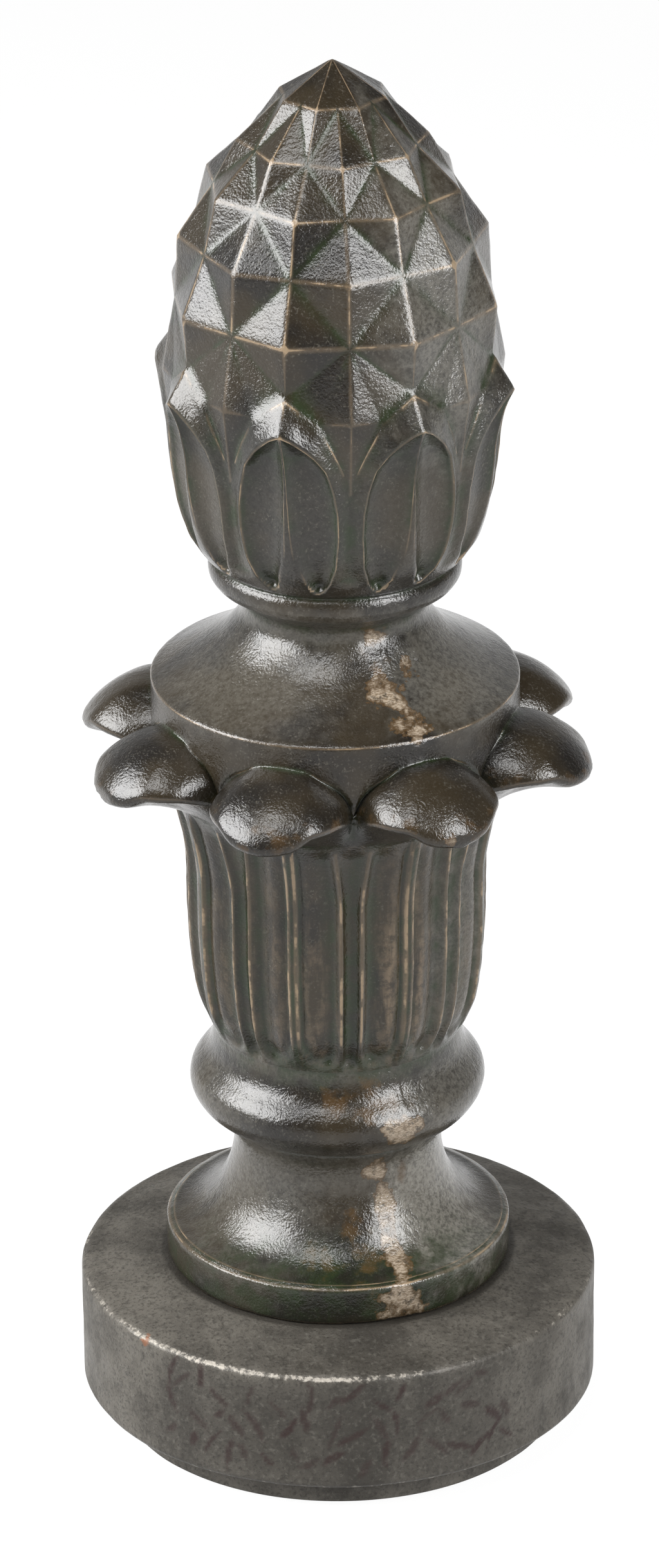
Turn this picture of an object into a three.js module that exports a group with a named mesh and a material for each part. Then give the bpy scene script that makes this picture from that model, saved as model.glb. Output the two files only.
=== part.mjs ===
// Cast iron pineapple finial on a round plinth.
// Millimetres, +Z up. The origin is the centre of the plinth's underside.
// Two castings: the finial, from its foot to the tip of the pineapple, and the plinth below it.

import * as THREE from 'three';
import { mergeVertices } from 'three/addons/utils/BufferGeometryUtils.js';

// Plinth
const plinthRadius = 101;
const plinthSideHeight = 48.5;
const plinthEdgeChamfer = 1.4;
const plinthCrown = 4.6; // rise of the weathered top from its edge to the seat
const insetStep = 13.5; // how far the lower rim stands back from the side
const insetHeight = 14;
const seatGap = 0.3;
const seatMargin = 2; // how far the seat reaches past the foot

// Foot
const footRadius = 67.3;
const footBandHeight = 15.3;
const footEdge = 0.8; // size of the small bevels at the top of the foot's band
const flareInset = 2.5; // how far the flare starts inside the band
const flareHeight = 34.3;
const neckRadius = 40.5;
const neckHeight = 9.5; // from the narrowest place up to the step under the torus
const stepRadius = 43.4;
const stepHeight = 3.5;
const stepProud = 0.6;

// Torus under the fluted cup
const torusRadius = 57.6;
const torusLowerHeight = 14.2;
const torusUpperHeight = 22.5; // with the hollow that leads up to the cup
const torusRootRadius = 44.6;

// Fluted cup
const cupBaseRadius = 48;
const cupBellyRadius = 58.3;
const cupLipRadius = 65;
const cupHeight = 105;
const cupBellyHeight = 72; // height of the belly's top over the cup's base
const fluteDepth = 3;
const ribHalfAngle = 1.9;
const ribProud = 1;
const ribBevel = 0.8; // degrees from a rib's edge down into the panel
const bandBevel = 1;
const bandHalfAngle = 3.6;
const bandDepth = 2.6;
const fluteRunOut = 9; // length over which the flutes fade in at the cup's base
const fluteTopRunOut = 5;

// Lobes, the curled tips of the eight leaves
const leafCount = 8;
const leafPhase = -16.9; // azimuth of the first leaf, from the front towards +X
const lobeReach = 101.3;
const lobeHalfWidth = 26.4;
const lobeLength = 26.5; // from the widest place to the tip
const lobeHeight = 38.5; // from the cup's lip to the collar
const pinchRadius = 66; // where neighbouring lobes meet
const lobeOutlineExponent = 1.85; // 2 is an ellipse, less is more pointed
const discLine = 32; // height over the cup's lip of the fine line under the disc's band

// Disc over the lobes
const discRadius = 70.6;
const discBandHeight = 5.4;
const discEdge = 0.5;
const discFlareHeight = 31;
const upperNeckRadius = 36;
const coveHeight = 10; // from the neck out to the bead's lower edge
const beadRadius = 48.2;
const beadHeight = 9.5;

// Leaf cup under the pineapple
const leafCupRadius = 62.6;
const leafCupBaseRadius = 47.5;
const leafCupHeight = 73.3; // from its base to the points of the leaves
const leafHalfAngle = 18;
const panelDepth = 3.4;
const gapDepth = 2.3;
const midribHalfAngle = 1;
const stemHalfAngle = 5.5;
const beakRadius = 70.4;

// Pineapple: one entry a ring, from the lowest to the highest
const pineappleHeight = 123.5; // from the points of the leaves to the tip
const pineappleRadius = 63.6;
const meridians = 2 * leafCount;
const pyramidRelief = 3.5; // how far the valleys lie inside the points
// Height and radius of each ring of points and depth of its valleys, as shares of the three sizes above
const ringShape = [
  [0.03, 1.02, 1],
  [0.262, 1, 1.15],
  [0.456, 0.918, 1.15],
  [0.623, 0.777, 1.35],
  [0.756, 0.567, 1],
  [0.895, 0.324, 0.6],
];

const pitch = 360 / leafCount;
const halfPitch = pitch / 2;

// Points are held as { a, r, z }: azimuth in degrees from the front, radius and height.
const at = (a, r, z) => ({ a, r, z });

const lerp = (low, high, share) => low + (high - low) * share;

// Smooth step from 0 at low to 1 at high
function ease(value, low, high) {
  const share = Math.min(1, Math.max(0, (value - low) / (high - low)));
  return share * share * (3 - 2 * share);
}

// Value of a polyline of [place, value] pairs at a place
function along(pairs, place) {
  let index = 0;
  while (index < pairs.length - 2 && pairs[index + 1][0] < place) index += 1;
  const [p0, v0] = pairs[index];
  const [p1, v1] = pairs[index + 1];
  return lerp(v0, v1, Math.min(1, Math.max(0, (place - p0) / (p1 - p0))));
}

// A skin gathers triangles whose points are given in cylinder form
class Skin {
  constructor() {
    this.positions = [];
  }

  point({ a, r, z }) {
    const turn = THREE.MathUtils.degToRad(a + leafPhase);
    this.positions.push(r * Math.sin(turn), -r * Math.cos(turn), z);
  }

  triangle(p, q, s) {
    const same = (one, two) => one.r === two.r && one.z === two.z && one.a === two.a;
    if (same(p, q) || same(q, s) || same(s, p)) return;
    this.point(p);
    this.point(q);
    this.point(s);
  }

  // One half leaf drawn for angles 0 to halfPitch, mirrored and repeated round the axis
  wedge(p, q, s) {
    for (let leaf = 0; leaf < leafCount; leaf += 1) {
      const turn = (point) => at(point.a + leaf * pitch, point.r, point.z);
      const mirror = (point) => at(leaf * pitch - point.a, point.r, point.z);
      this.triangle(turn(p), turn(q), turn(s));
      this.triangle(mirror(q), mirror(p), mirror(s));
    }
  }

  // Rows of a half leaf, from low to high, each running from angle 0 outwards
  wedgeGrid(rows) {
    for (let row = 1; row < rows.length; row += 1) {
      const low = rows[row - 1];
      const high = rows[row];
      for (let i = 1; i < low.length; i += 1) {
        this.wedge(low[i - 1], low[i], high[i]);
        this.wedge(low[i - 1], high[i], high[i - 1]);
      }
    }
  }

  // Joins two full rings whatever their number of points
  zip(low, high) {
    const ring = (points) => [...points, at(points[0].a + 360, points[0].r, points[0].z)];
    const under = ring(low);
    const over = ring(high);
    let i = 0;
    let j = 0;
    while (i < under.length - 1 || j < over.length - 1) {
      const lowNext = i < under.length - 1 ? under[i + 1].a : Infinity;
      const highNext = j < over.length - 1 ? over[j + 1].a : Infinity;
      if (lowNext <= highNext) {
        this.triangle(under[i], under[i + 1], over[j]);
        i += 1;
      } else {
        this.triangle(under[i], over[j + 1], over[j]);
        j += 1;
      }
    }
  }

  // Closes a ring with a fan to a point on the axis, facing up or down
  cap(ring, z, facesUp) {
    const centre = at(0, 0, z);
    for (let i = 0; i < ring.length; i += 1) {
      const next = ring[(i + 1) % ring.length];
      if (facesUp) this.triangle(ring[i], next, centre);
      else this.triangle(next, ring[i], centre);
    }
  }

  geometry() {
    const soup = new THREE.BufferGeometry();
    soup.setAttribute('position', new THREE.Float32BufferAttribute(this.positions, 3));
    const merged = mergeVertices(soup, 1e-3);
    merged.computeVertexNormals();
    return merged;
  }
}

const plainRingPoints = 36;

function plainRing(r, z) {
  return Array.from({ length: plainRingPoints }, (_, i) => at((i * 360) / plainRingPoints, r, z));
}

// A full ring from the points of one half leaf
function ringOfHalves(half) {
  const ring = [];
  for (let leaf = 0; leaf < leafCount; leaf += 1) {
    const inner = half.filter((p) => p.a > 0 && p.a < halfPitch);
    ring.push(at(leaf * pitch, half[0].r, half[0].z));
    inner.forEach((p) => ring.push(at(leaf * pitch + p.a, p.r, p.z)));
    ring.push(at(leaf * pitch + halfPitch, half[half.length - 1].r, half[half.length - 1].z));
    inner.toReversed().forEach((p) => ring.push(at((leaf + 1) * pitch - p.a, p.r, p.z)));
  }
  return ring;
}

// Heights of the levels that the forms share
const seatHeight = insetHeight + plinthSideHeight + plinthCrown;
const footBottom = seatHeight + seatGap;
const footTop = footBottom + footBandHeight;
const flareTop = footTop + flareHeight;
const stepBottom = flareTop + neckHeight;
const stepTop = stepBottom + stepHeight;
const torusMiddle = stepTop + torusLowerHeight;
const cupBase = torusMiddle + torusUpperHeight;
const cupLip = cupBase + cupHeight;
const collar = cupLip + lobeHeight;
const discRim = collar + discBandHeight;
const discFlareTop = discRim + discFlareHeight;
const beadBottom = discFlareTop + coveHeight;
const leafCupBase = beadBottom + beadHeight;
const leafPoint = leafCupBase + leafCupHeight;
const tip = leafPoint + pineappleHeight;

// Plinth: a block with a stepped-back lower rim, a worn top edge and a slightly crowned top
function plinth() {
  const sideBottom = insetHeight;
  const edge = sideBottom + plinthSideHeight;
  const insetRadius = plinthRadius - insetStep;
  const profile = [
    [0, 0],
    [insetRadius, 0],
    [insetRadius, sideBottom],
    [plinthRadius, sideBottom],
    [plinthRadius, edge - plinthEdgeChamfer],
    [plinthRadius - plinthEdgeChamfer, edge],
    [footRadius + seatMargin, seatHeight],
    [0, seatHeight],
  ].map(([r, z]) => new THREE.Vector2(r, z));
  const geometry = new THREE.LatheGeometry(profile, 54);
  geometry.rotateX(Math.PI / 2);
  return geometry;
}

// Foot and torus as plain rings
function footRings() {
  const rings = [
    [footRadius, footBottom],
    [footRadius, footTop - footEdge],
    [footRadius - footEdge, footTop],
  ];
  const flareSteps = 5;
  for (let i = 1; i <= flareSteps; i += 1) {
    const turn = (Math.PI / 2) * (i / flareSteps);
    rings.push([
      neckRadius + (footRadius - flareInset - neckRadius) * (1 - Math.sin(turn)) ** 0.9,
      footTop + footEdge + (flareHeight - footEdge) * (1 - Math.cos(turn)),
    ]);
  }
  rings.push([lerp(neckRadius, stepRadius, 0.25), lerp(flareTop, stepBottom, 0.55)]);
  rings.push([stepRadius - stepProud, stepBottom]);
  rings.push([stepRadius, stepBottom + stepProud]);
  rings.push([stepRadius, stepTop]);
  return rings.map(([r, z]) => plainRing(r, z));
}

// Torus, with a hollow above it that leads up to the cup
function torusRings() {
  const rings = [[torusRootRadius, stepTop]];
  for (const [share, spread] of [[0.18, 0.42], [0.5, 0.79], [0.8, 0.96]]) {
    rings.push([lerp(torusRootRadius, torusRadius, spread), stepTop + torusLowerHeight * share]);
  }
  rings.push([torusRadius, torusMiddle]);
  for (const [share, spread] of [[0.16, 0.92], [0.32, 0.68], [0.46, 0.4], [0.65, 0.17], [0.97, 0]]) {
    rings.push([lerp(cupBaseRadius, torusRadius, spread), torusMiddle + torusUpperHeight * share]);
  }
  return rings.map(([r, z]) => plainRing(r, z));
}

// Body of the fluted cup without its flutes, by height over the cup's base
function cupRadius(height) {
  const shape = [
    [0, cupBaseRadius],
    [0.1, lerp(cupBaseRadius, cupBellyRadius, 0.3)],
    [0.21, lerp(cupBaseRadius, cupBellyRadius, 0.62)],
    [0.32, lerp(cupBaseRadius, cupBellyRadius, 0.78)],
    [0.48, lerp(cupBaseRadius, cupBellyRadius, 0.9)],
    [0.7, lerp(cupBaseRadius, cupBellyRadius, 0.98)],
    [1, cupBellyRadius],
  ];
  if (height <= cupBellyHeight) return along(shape, height / cupBellyHeight);
  const share = (height - cupBellyHeight) / (cupHeight - cupBellyHeight);
  return lerp(cupBellyRadius, cupLipRadius, share ** 1.5);
}

// Columns of one half leaf across the flutes: [angle, depth of the cut below the body]
function fluteColumns() {
  const panelFrom = ribHalfAngle + ribBevel;
  const panelTo = halfPitch - bandHalfAngle;
  const columns = [[0, -ribProud], [ribHalfAngle, -ribProud], [panelFrom, fluteDepth * 0.35]];
  for (const share of [0.32, 0.72]) {
    const hollow = 4 * share * (1 - share);
    columns.push([lerp(panelFrom, panelTo, share), fluteDepth * Math.max(0.35, hollow)]);
  }
  columns.push([panelTo, 0]);
  columns.push([panelTo + bandBevel, bandDepth]);
  columns.push([halfPitch, bandDepth]);
  return columns;
}

function cupRow(height) {
  const fadeIn = ease(height, 0, fluteRunOut);
  const fadeOut = 1 - ease(height, cupHeight - fluteTopRunOut, cupHeight);
  const fade = Math.min(fadeIn, fadeOut);
  const body = cupRadius(height);
  return fluteColumns().map(([a, depth]) => at(a, body - depth * fade, cupBase + height));
}

function cupRows() {
  const shares = [0, 0.04, 0.085, 0.16, 0.32, 0.7, 0.94, 1];
  return shares.map((share) => cupRow(share * cupHeight));
}

// Plan of one half lobe: [angle, reach], from the tip round to the pinch with its neighbour
function lobePlan() {
  const plan = [];
  const steps = 5;
  const widest = lobeReach - lobeLength;
  for (let i = 0; i <= steps; i += 1) {
    const turn = (Math.PI / 2) * (i / steps);
    const x = widest + lobeLength * Math.cos(turn) ** (2 / lobeOutlineExponent);
    const y = lobeHalfWidth * Math.sin(turn) ** (2 / lobeOutlineExponent);
    plan.push([THREE.MathUtils.radToDeg(Math.atan2(y, x)), Math.hypot(x, y)]);
  }
  plan.push([halfPitch, pinchRadius]);
  return plan;
}

// One meridian of the lobes at an angle from the lobe's middle, from the cup's lip to the collar
function lobeColumn(angle, reach) {
  const away = angle / halfPitch;
  const swell = (reach - pinchRadius) / (lobeReach - pinchRadius);
  const lip = lobeHeight * along([[0, 0.27], [0.3, 0.31], [0.52, 0.42], [0.75, 0.42], [1, 0.29]], away);
  const edge = lip + lobeHeight * lerp(0.02, 0.08, swell);
  const rootShape = [[0, 0.89], [0.35, 0.86], [0.55, 0.77], [0.78, 0.64], [0.92, 0.5], [1, 0.33]];
  const root = lobeHeight * along(rootShape, away);
  const rootRadius = lerp(discRadius + 0.9, pinchRadius + 0.3, away ** 2);
  const points = [[lerp(cupLipRadius, reach, 0.05), 1]];
  for (const [share, rise] of [[0.3, 0.5], [0.65, 0.87], [0.94, 1]]) {
    points.push([lerp(cupLipRadius, reach, share), lip * rise]);
  }
  points.push([reach, edge]);
  for (const share of [0.12, 0.35, 0.7]) {
    const rise = Math.sin((Math.PI / 2) * share) ** 0.68;
    points.push([lerp(reach, rootRadius, share), lerp(edge, root, rise)]);
  }
  const line = Math.max(discLine, root + 1);
  points.push([rootRadius, root]);
  points.push([discRadius, line]);
  points.push([discRadius, lobeHeight]);
  return points.map(([r, height]) => at(angle, r, cupLip + height));
}

function lobeRows() {
  const columns = lobePlan().map(([angle, reach]) => lobeColumn(angle, reach));
  return columns[0].map((_, row) => columns.map((column) => column[row]));
}

// Disc, upper neck and bead as plain rings
function discRings() {
  const rings = [[discRadius, discRim - discEdge], [discRadius - discEdge, discRim]];
  const shape = [[0.1, 0.81], [0.3, 0.5], [0.58, 0.18], [0.92, 0]];
  for (const [rise, spread] of shape) {
    rings.push([lerp(upperNeckRadius, discRadius, spread), discRim + discFlareHeight * rise]);
  }
  for (const [share, spread] of [[0.4, 0.22], [0.96, 0.85]]) {
    rings.push([lerp(upperNeckRadius, beadRadius, spread), discFlareTop + coveHeight * share]);
  }
  for (const [share, inset] of [[0.1, 0.6], [0.4, 0], [0.75, 0.2], [0.97, 1.2]]) {
    rings.push([beadRadius - inset, beadBottom + beadHeight * share]);
  }
  return rings.map(([r, z]) => plainRing(r, z));
}

// Body of the leaf cup without its leaves, by share of its height
function leafCupBody(share) {
  const swell = (spread) => lerp(leafCupBaseRadius, leafCupRadius, spread);
  const flare = (spread) => lerp(leafCupRadius, beakRadius, spread);
  const shape = [
    [0, leafCupBaseRadius],
    [0.035, swell(0.2)],
    [0.09, swell(0.38)],
    [0.14, swell(0.54)],
    [0.2, swell(0.65)],
    [0.3, swell(0.8)],
    [0.42, swell(0.91)],
    [0.58, leafCupRadius],
    [0.7, flare(0.1)],
    [0.8, flare(0.28)],
    [0.9, flare(0.55)],
    [1, beakRadius],
  ];
  return along(shape, share);
}

// Half angle of a leaf's arch, by share of the leaf cup's height
function archAngle(share) {
  const shape = [
    [0, 0.7],
    [0.15, 0.86],
    [0.22, 0.955],
    [0.4, 1.01],
    [0.54, 1],
    [0.66, 0.925],
    [0.79, 0.79],
    [0.877, 0.56],
    [0.92, 0.4],
    [0.97, 0.2],
    [1, 0],
  ];
  return leafHalfAngle * along(shape, share);
}

// Panel of one half leaf at a share of the leaf cup's height: the midrib, the hollow and the rim
function panelRow(share) {
  const fade = ease(share, 0, 0.16);
  const body = leafCupBody(share);
  const z = leafCupBase + leafCupHeight * share;
  const arch = archAngle(share);
  const depth = panelDepth * fade * Math.min(1, arch / (leafHalfAngle * 0.6));
  const stem = Math.min(arch * 0.4, lerp(stemHalfAngle, midribHalfAngle, ease(share, 0.1, 0.45)));
  return [
    at(0, body, z),
    at(stem, body - depth * 0.55, z),
    at(lerp(stem, arch, 0.35), body - depth, z),
    at(lerp(stem, arch, 0.7), body - depth * 0.9, z),
    at(lerp(stem, arch, 0.93), body - depth * 0.5, z),
    at(arch, body, z),
  ];
}

// Outer edge of the shoulders over the arches: [share of the leaf cup's height, angle, radius]
const shoulderEdge = [
  [0.65, halfPitch, leafCupBody(0.65) - gapDepth],
  [0.77, halfPitch * 0.9, leafCupRadius - gapDepth * 0.8],
  [0.885, halfPitch * 0.765, leafCupRadius - gapDepth * 0.5],
  [1.048, halfPitch * 0.53, leafCupRadius - 0.2],
  [1.115, halfPitch * 0.26, leafCupRadius - 0.6],
  [1.177, 0, leafCupRadius - 1],
];

// Shares of the leaf cup's height at which the arch meets each point of the shoulder's edge
const archShares = [0.65, 0.74, 0.83, 0.9, 0.955, 1];

function shoulderRow(index) {
  const share = archShares[index];
  const rim = panelRow(share)[5];
  const [edgeShare, edgeAngle, edgeRadius] = shoulderEdge[index];
  const edge = at(edgeAngle, edgeRadius, leafCupBase + leafCupHeight * edgeShare);
  const beside = at(lerp(rim.a, edge.a, 0.3), lerp(rim.r, edge.r, 0.55), lerp(rim.z, edge.z, 0.3));
  return [rim, beside, edge];
}

// Row below the shoulders: the panel, then the groove between two leaves
function leafRow(share) {
  const fade = ease(share, 0, 0.16);
  const panel = panelRow(share);
  const rim = panel[5];
  const groove = leafCupBody(share) - gapDepth * fade;
  const wall = lerp(rim.a, halfPitch, 0.3);
  return [...panel, at(wall, lerp(rim.r, groove, 0.55), rim.z), at(halfPitch, groove, rim.z)];
}

const leafShares = [0, 0.05, 0.1, 0.16, 0.27, 0.46, 0.65];

function pineapplePoint(ring, meridian) {
  const [rise, spread, relief] = ringShape[ring];
  const isPoint = (ring + meridian) % 2 === 1;
  const r = pineappleRadius * spread - (isPoint ? 0 : pyramidRelief * relief);
  return at(meridian * halfPitch, r, leafPoint + pineappleHeight * rise);
}

// Leaves with their beaks, up to the second ring of the pineapple
function addLeaves(skin) {
  skin.wedgeGrid(leafShares.map(leafRow));
  skin.wedgeGrid(archShares.map(panelRow));
  skin.wedgeGrid(archShares.map((_, index) => shoulderRow(index)));

  const edge = shoulderEdge.map((_, index) => shoulderRow(index)[2]);
  const lowPoint = pineapplePoint(0, 1);
  const valley = pineapplePoint(1, 1);
  const point = pineapplePoint(1, 0);
  const top = edge[edge.length - 1];
  for (let i = 0; i < 3; i += 1) skin.wedge(edge[i], lowPoint, edge[i + 1]);
  skin.wedge(edge[3], lowPoint, valley);
  for (let i = 3; i < edge.length - 1; i += 1) skin.wedge(edge[i], valley, edge[i + 1]);
  skin.wedge(top, valley, point);
}

// Rows of pyramids whose edges run level and upright, with their valleys on the slant
function addPineapple(skin) {
  const last = ringShape.length - 1;
  for (let ring = 1; ring < last; ring += 1) {
    for (let m = 0; m < meridians; m += 1) {
      const low = pineapplePoint(ring, m);
      const lowNext = pineapplePoint(ring, m + 1);
      const high = pineapplePoint(ring + 1, m);
      const highNext = pineapplePoint(ring + 1, m + 1);
      if ((ring + m) % 2 === 0) {
        skin.triangle(low, lowNext, highNext);
        skin.triangle(low, highNext, high);
      } else {
        skin.triangle(low, lowNext, high);
        skin.triangle(lowNext, highNext, high);
      }
    }
  }
  const top = Array.from({ length: meridians }, (_, m) => pineapplePoint(last, m));
  skin.cap(top, tip, true);
}

function finial() {
  const skin = new Skin();
  const lower = [...footRings(), ...torusRings()];
  skin.cap(lower[0], footBottom, false);
  for (let i = 1; i < lower.length; i += 1) skin.zip(lower[i - 1], lower[i]);

  const flutes = cupRows();
  skin.zip(lower[lower.length - 1], ringOfHalves(flutes[0]));
  skin.wedgeGrid(flutes);

  const lobes = lobeRows();
  skin.zip(ringOfHalves(flutes[flutes.length - 1]), ringOfHalves(lobes[0]));
  skin.wedgeGrid(lobes);

  const upper = discRings();
  skin.zip(ringOfHalves(lobes[lobes.length - 1]), upper[0]);
  for (let i = 1; i < upper.length; i += 1) skin.zip(upper[i - 1], upper[i]);

  skin.zip(upper[upper.length - 1], ringOfHalves(leafRow(leafShares[0])));
  addLeaves(skin);
  addPineapple(skin);
  return skin.geometry();
}

const sealedIron = new THREE.MeshStandardMaterial({ color: 0x3a3530, roughness: 0.35, metalness: 0.85 });
const dullIron = new THREE.MeshStandardMaterial({ color: 0x4b4742, roughness: 0.6, metalness: 0.7 });

function namedMesh(name, geometry, material) {
  const mesh = new THREE.Mesh(geometry, material);
  mesh.name = name;
  return mesh;
}

const ornament = new THREE.Group();
ornament.add(namedMesh('plinth', plinth(), dullIron));
ornament.add(namedMesh('finial', finial(), sealedIron));

export default ornament;
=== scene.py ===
# Looks of a cast iron pineapple finial on a round plinth.
# Shapes are worked out in millimetres, with +Z up and the front at -Y, and turned into metres at the end.

import math

import bmesh
import bpy
import numpy as np
from mathutils import Matrix, Vector, noise


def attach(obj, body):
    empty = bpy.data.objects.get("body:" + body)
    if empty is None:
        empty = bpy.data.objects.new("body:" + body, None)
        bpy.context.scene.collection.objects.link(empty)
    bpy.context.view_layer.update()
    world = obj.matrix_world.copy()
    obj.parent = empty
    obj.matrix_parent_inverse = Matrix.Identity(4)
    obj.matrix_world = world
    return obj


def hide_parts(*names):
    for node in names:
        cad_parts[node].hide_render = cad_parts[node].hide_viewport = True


MM = 0.001

# Plinth
PLINTH_RADIUS = 101
PLINTH_SIDE_HEIGHT = 48.5
PLINTH_CROWN = 4.6
INSET_STEP = 13.5
INSET_HEIGHT = 14
SEAT_GAP = 0.3

# Foot
FOOT_RADIUS = 67.3
FOOT_BAND_HEIGHT = 15.3
FOOT_EDGE = 0.8
FLARE_HEIGHT = 34.3
FLARE_INSET = 2.5
FLARE_EXPONENT = 0.9
NECK_RADIUS = 40.5
NECK_HEIGHT = 9.5
STEP_RADIUS = 43.4
STEP_HEIGHT = 3.5
STEP_PROUD = 0.6

# Torus under the fluted cup
TORUS_RADIUS = 57.6
TORUS_LOWER_HEIGHT = 14.2
TORUS_UPPER_HEIGHT = 22.5
TORUS_ROOT_RADIUS = 44.6

# Fluted cup, with angles in degrees from the middle of a rib
CUP_BASE_RADIUS = 48
CUP_BELLY_RADIUS = 58.3
CUP_LIP_RADIUS = 65
CUP_HEIGHT = 105
CUP_BELLY_HEIGHT = 72
CUP_FLARE_EXPONENT = 1.5
FLUTE_DEPTH = 3.4
RIB_HALF_ANGLE = 1.9
RIB_FOOT_ANGLE = 2.5
RIB_PROUD = 1
RIB_START = 1.5  # height at which ribs and gaps begin to fade in
BAND_HALF_ANGLE = 3.6
BAND_DEPTH = 2.8
PANEL_MIDDLE = 10.4
PANEL_HALF_WIDTH = 8
PANEL_START = 2.5  # lowest place of the panels' rounded lower ends
PANEL_START_RISE = 9
PANEL_START_MOST = 12
FLUTE_FADE = 4  # height over which flutes reach their depth
FLUTE_TOP_FADE = 9
GAP_SPLAY = 2.2  # degrees by which the gap widens on each side below the lobes
SPLAY_HEIGHT = 32

# Lobes
LEAF_COUNT = 8
LEAF_PHASE = -16.9
LOBE_REACH = 101.3
LOBE_HALF_WIDTH = 26.4
LOBE_LENGTH = 26.5
LOBE_HEIGHT = 38.5
LOBE_OUTLINE_EXPONENT = 1.85
LOBE_TOP_EXPONENT = 0.68
PINCH_RADIUS = 66
DISC_LINE = 32

# Disc, upper neck and bead
DISC_RADIUS = 70.6
DISC_BAND_HEIGHT = 5.4
DISC_FLARE_HEIGHT = 31
UPPER_NECK_RADIUS = 36
COVE_HEIGHT = 10
BEAD_RADIUS = 48.2
BEAD_HEIGHT = 9.5

# Leaf cup
LEAF_CUP_RADIUS = 62.6
LEAF_CUP_BASE_RADIUS = 47.5
LEAF_CUP_HEIGHT = 73.3
LEAF_HALF_ANGLE = 18
PANEL_DEPTH = 3.8
PANEL_BOTTOM = 3.5  # lowest place of the panels' rounded lower ends
PANEL_BOTTOM_RISE = 4.5
PANEL_FADE = 2.5
MIDRIB_PROUD = 0.25
GAP_DEPTH = 2.3
GAP_BOTTOM = 6
GAP_FULL_HEIGHT = 11
BEAK_RADIUS = 70.4
ARCH_START = 0.65
HOOD_STEP = 0.9  # how far the beaks stand proud of the pineapple behind them

# Pineapple: height, radius and depth of the valleys of each ring of points, as shares of the three sizes
PINEAPPLE_HEIGHT = 123.5
PINEAPPLE_RADIUS = 63.6
PYRAMID_RELIEF = 3.5
RING_SHAPE = [
    (0.03, 1.02, 1),
    (0.262, 1, 1.15),
    (0.456, 0.918, 1.15),
    (0.623, 0.777, 1.35),
    (0.756, 0.567, 1),
    (0.895, 0.324, 0.6),
]

# Levels that the forms share
EDGE_Z = INSET_HEIGHT + PLINTH_SIDE_HEIGHT
SEAT_Z = EDGE_Z + PLINTH_CROWN
FOOT_Z = SEAT_Z + SEAT_GAP
FOOT_TOP_Z = FOOT_Z + FOOT_BAND_HEIGHT
NECK_Z = FOOT_TOP_Z + FLARE_HEIGHT
STEP_Z = NECK_Z + NECK_HEIGHT
TORUS_Z = STEP_Z + STEP_HEIGHT
TORUS_MIDDLE_Z = TORUS_Z + TORUS_LOWER_HEIGHT
CUP_Z = TORUS_MIDDLE_Z + TORUS_UPPER_HEIGHT
LIP_Z = CUP_Z + CUP_HEIGHT
COLLAR_Z = LIP_Z + LOBE_HEIGHT
DISC_Z = COLLAR_Z + DISC_BAND_HEIGHT
UPPER_NECK_Z = DISC_Z + DISC_FLARE_HEIGHT
BEAD_Z = UPPER_NECK_Z + COVE_HEIGHT
LEAF_CUP_Z = BEAD_Z + BEAD_HEIGHT
LEAF_POINT_Z = LEAF_CUP_Z + LEAF_CUP_HEIGHT
TIP_Z = LEAF_POINT_Z + PINEAPPLE_HEIGHT

# Angles in degrees
PITCH = 360 / LEAF_COUNT
HALF_PITCH = PITCH / 2
BAND_EDGE_ANGLE = HALF_PITCH - BAND_HALF_ANGLE

# Fineness of the meshes
HALF_COLUMNS = 16  # columns across half a leaf
PATH_FINENESS = 12  # samples for each step along a path
FLARE_POINTS = 30
OUTLINE_POINTS = 60
LOBE_STEPS = (20, 26, 8)  # underside, top and collar
LEAF_CUP_ROWS = 36
SHOULDER_ROWS = 25
FAN_STEPS = 7
FACET_STEPS = 12
WELD_DISTANCE = 0.03
PLINTH_COLUMNS = 480


# Curves

def lerp(low, high, share):
    return low + (high - low) * share


def ease(value, low, high):
    share = np.clip((value - low) / (high - low), 0, 1)
    return share * share * (3 - 2 * share)


def hump(distance, width):
    """1 where the distance is 0, fading to 0 on both sides."""
    return np.exp(-(distance / width) ** 2)


def smooth(pairs, place):
    """Value of a curve through (place, value) pairs that never swings past them."""
    xs, ys = np.array(pairs, float).T
    run = np.diff(xs)
    slope = np.diff(ys) / run
    before, after = slope[:-1], slope[1:]
    same_sign = before * after > 0
    total = np.where(same_sign, before + after, 1)
    inner = np.where(same_sign, 2 * before * after / total, 0)
    tangent = np.concatenate([slope[:1], inner, slope[-1:]])
    x = np.clip(place, xs[0], xs[-1])
    i = np.clip(np.searchsorted(xs, x, side="right") - 1, 0, len(run) - 1)
    t = (x - xs[i]) / run[i]
    return ((2 * t ** 3 - 3 * t ** 2 + 1) * ys[i] + (t ** 3 - 2 * t ** 2 + t) * run[i] * tangent[i]
            + (3 * t ** 2 - 2 * t ** 3) * ys[i + 1] + (t ** 3 - t ** 2) * run[i] * tangent[i + 1])


def straight(pairs, place):
    """Value of straight lines through (place, value) pairs."""
    return np.interp(place, *np.array(pairs).T)


def path(points, count):
    """Points evenly spaced along a smooth line through (radius, height) points."""
    points = np.array(points, float)
    chord = np.concatenate([[0], np.cumsum(np.hypot(*np.diff(points, axis=0).T))])
    fine = np.linspace(0, chord[-1], PATH_FINENESS * count)
    r = smooth(list(zip(chord, points[:, 0])), fine)
    z = smooth(list(zip(chord, points[:, 1])), fine)
    run = np.concatenate([[0], np.cumsum(np.hypot(np.diff(r), np.diff(z)))])
    even = np.linspace(0, run[-1], count + 1)
    return np.interp(even, run, r), np.interp(even, run, z)


def turned(inner_r, outer_r, low_z, height, shape):
    """(radius, height) points of a turned form, from (rise, spread) shares."""
    return [(lerp(inner_r, outer_r, spread), low_z + height * rise) for rise, spread in shape]


# Rows of half a leaf: arrays of (angle, radius, height) from the leaf's middle to the gap

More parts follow.
